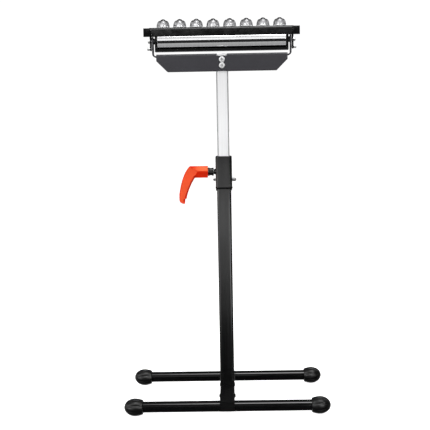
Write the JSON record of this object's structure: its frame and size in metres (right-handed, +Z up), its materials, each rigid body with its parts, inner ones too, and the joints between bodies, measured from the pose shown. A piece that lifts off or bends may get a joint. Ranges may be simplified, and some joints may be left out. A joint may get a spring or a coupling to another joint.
{
  "type": "roller stand",
  "caption": "Pedestal roller stand with an H-shaped base, a lever-clamped telescoping post and a tilting head that carries ball transfers, a steel roller or a plain guide bar.",
  "frame": {"origin": "on the floor, under the post's axis, midway between the feet", "axes": "+Z up; +X along the roller, away from the clamp lever; +Y to the back, where the guide bar is"},
  "size_m": [0.474, 0.3202, 0.9099],
  "materials": {
    "black_paint": "semi-gloss powder coat",
    "grey_paint": "satin dark grey powder coat",
    "black_plastic": "satin moulded plastic",
    "orange_plastic": "glossy moulded plastic",
    "bright_steel": "bright zinc plate",
    "roller_steel": "polished plated tube",
    "chrome": "polished",
    "zinc": "zinc plated fasteners"
  },
  "bodies": {
    "base": {"front_foot_tube": "black_paint", "rear_foot_tube": "black_paint", "front_left_foot_cap": "black_plastic", "front_right_foot_cap": "black_plastic", "rear_left_foot_cap": "black_plastic", "rear_right_foot_cap": "black_plastic", "base_crossbar": "black_paint", "front_cross_bolt": "zinc", "front_cross_nut": "zinc", "rear_cross_bolt": "zinc", "rear_cross_nut": "zinc", "outer_post": "black_paint", "guide_bushing": "black_plastic", "clamp_collar": "black_paint", "collar_screw_left": "zinc", "collar_screw_right": "zinc"},
    "lever": {"clamp_pad": "zinc", "clamp_stud": "zinc", "lever_hub": "black_plastic", "clamp_lever": "orange_plastic"},
    "mast": {"inner_post": "bright_steel", "inner_post_glide": "black_plastic", "head_yoke": "grey_paint", "yoke_screw_upper": "zinc", "yoke_screw_lower": "zinc", "yoke_nut_upper": "zinc", "yoke_nut_lower": "zinc"},
    "head": {"roller_frame": "black_paint", "ball_bar": "black_paint", "side_plate_left": "black_paint", "side_plate_right": "black_paint", "edge_guide": "black_paint", "edge_guide_plug_left": "black_plastic", "edge_guide_plug_right": "black_plastic", "pivot_axle": "zinc", "axle_nut_left": "zinc", "axle_nut_right": "zinc", "axle_spacer_left": "black_plastic", "axle_spacer_right": "black_plastic", "lock_screw_left": "zinc", "lock_screw_right": "zinc", "ball_housing_1": "chrome", "ball_housing_2": "chrome", "ball_housing_3": "chrome", "ball_housing_4": "chrome", "ball_housing_5": "chrome", "ball_housing_6": "chrome", "ball_housing_7": "chrome", "ball_housing_8": "chrome"},
    "roller": {"roller_tube": "roller_steel", "roller_bearing_left": "black_plastic", "roller_bearing_right": "black_plastic"},
    "transfer_ball_1": {"ball_1": "chrome"},
    "transfer_ball_2": {"ball_2": "chrome"},
    "transfer_ball_3": {"ball_3": "chrome"},
    "transfer_ball_4": {"ball_4": "chrome"},
    "transfer_ball_5": {"ball_5": "chrome"},
    "transfer_ball_6": {"ball_6": "chrome"},
    "transfer_ball_7": {"ball_7": "chrome"},
    "transfer_ball_8": {"ball_8": "chrome"}
  },
  "joints": [
    {"name": "mast_slide", "type": "slide", "parent": "base", "child": "mast", "axis": [0, 0, 1], "range_m": [-0.195, 0.211]},
    {"name": "lever_turn", "type": "hinge", "parent": "base", "child": "lever", "pos_m": [0, 0, 0.5505], "axis": [-1, 0, 0], "range_deg": [0, 120]},
    {"name": "head_tilt", "type": "hinge", "parent": "mast", "child": "head", "pos_m": [0, 0, 0.85859], "axis": [1, 0, 0], "range_deg": [-90, 90]},
    {"name": "roller_spin", "type": "hinge", "parent": "head", "child": "roller", "pos_m": [0, 0, 0.85859], "axis": [1, 0, 0], "continuous": true},
    {"name": "ball_1_roll", "type": "hinge", "parent": "head", "child": "transfer_ball_1", "pos_m": [-0.1365, 0, 0.90199], "axis": [1, 0, 0], "continuous": true},
    {"name": "ball_2_roll", "type": "hinge", "parent": "head", "child": "transfer_ball_2", "pos_m": [-0.0975, 0, 0.90199], "axis": [1, 0, 0], "continuous": true},
    {"name": "ball_3_roll", "type": "hinge", "parent": "head", "child": "transfer_ball_3", "pos_m": [-0.0585, 0, 0.90199], "axis": [1, 0, 0], "continuous": true},
    {"name": "ball_4_roll", "type": "hinge", "parent": "head", "child": "transfer_ball_4", "pos_m": [-0.0195, 0, 0.90199], "axis": [1, 0, 0], "continuous": true},
    {"name": "ball_5_roll", "type": "hinge", "parent": "head", "child": "transfer_ball_5", "pos_m": [0.0195, 0, 0.90199], "axis": [1, 0, 0], "continuous": true},
    {"name": "ball_6_roll", "type": "hinge", "parent": "head", "child": "transfer_ball_6", "pos_m": [0.0585, 0, 0.90199], "axis": [1, 0, 0], "continuous": true},
    {"name": "ball_7_roll", "type": "hinge", "parent": "head", "child": "transfer_ball_7", "pos_m": [0.0975, 0, 0.90199], "axis": [1, 0, 0], "continuous": true},
    {"name": "ball_8_roll", "type": "hinge", "parent": "head", "child": "transfer_ball_8", "pos_m": [0.1365, 0, 0.90199], "axis": [1, 0, 0], "continuous": true}
  ]
}
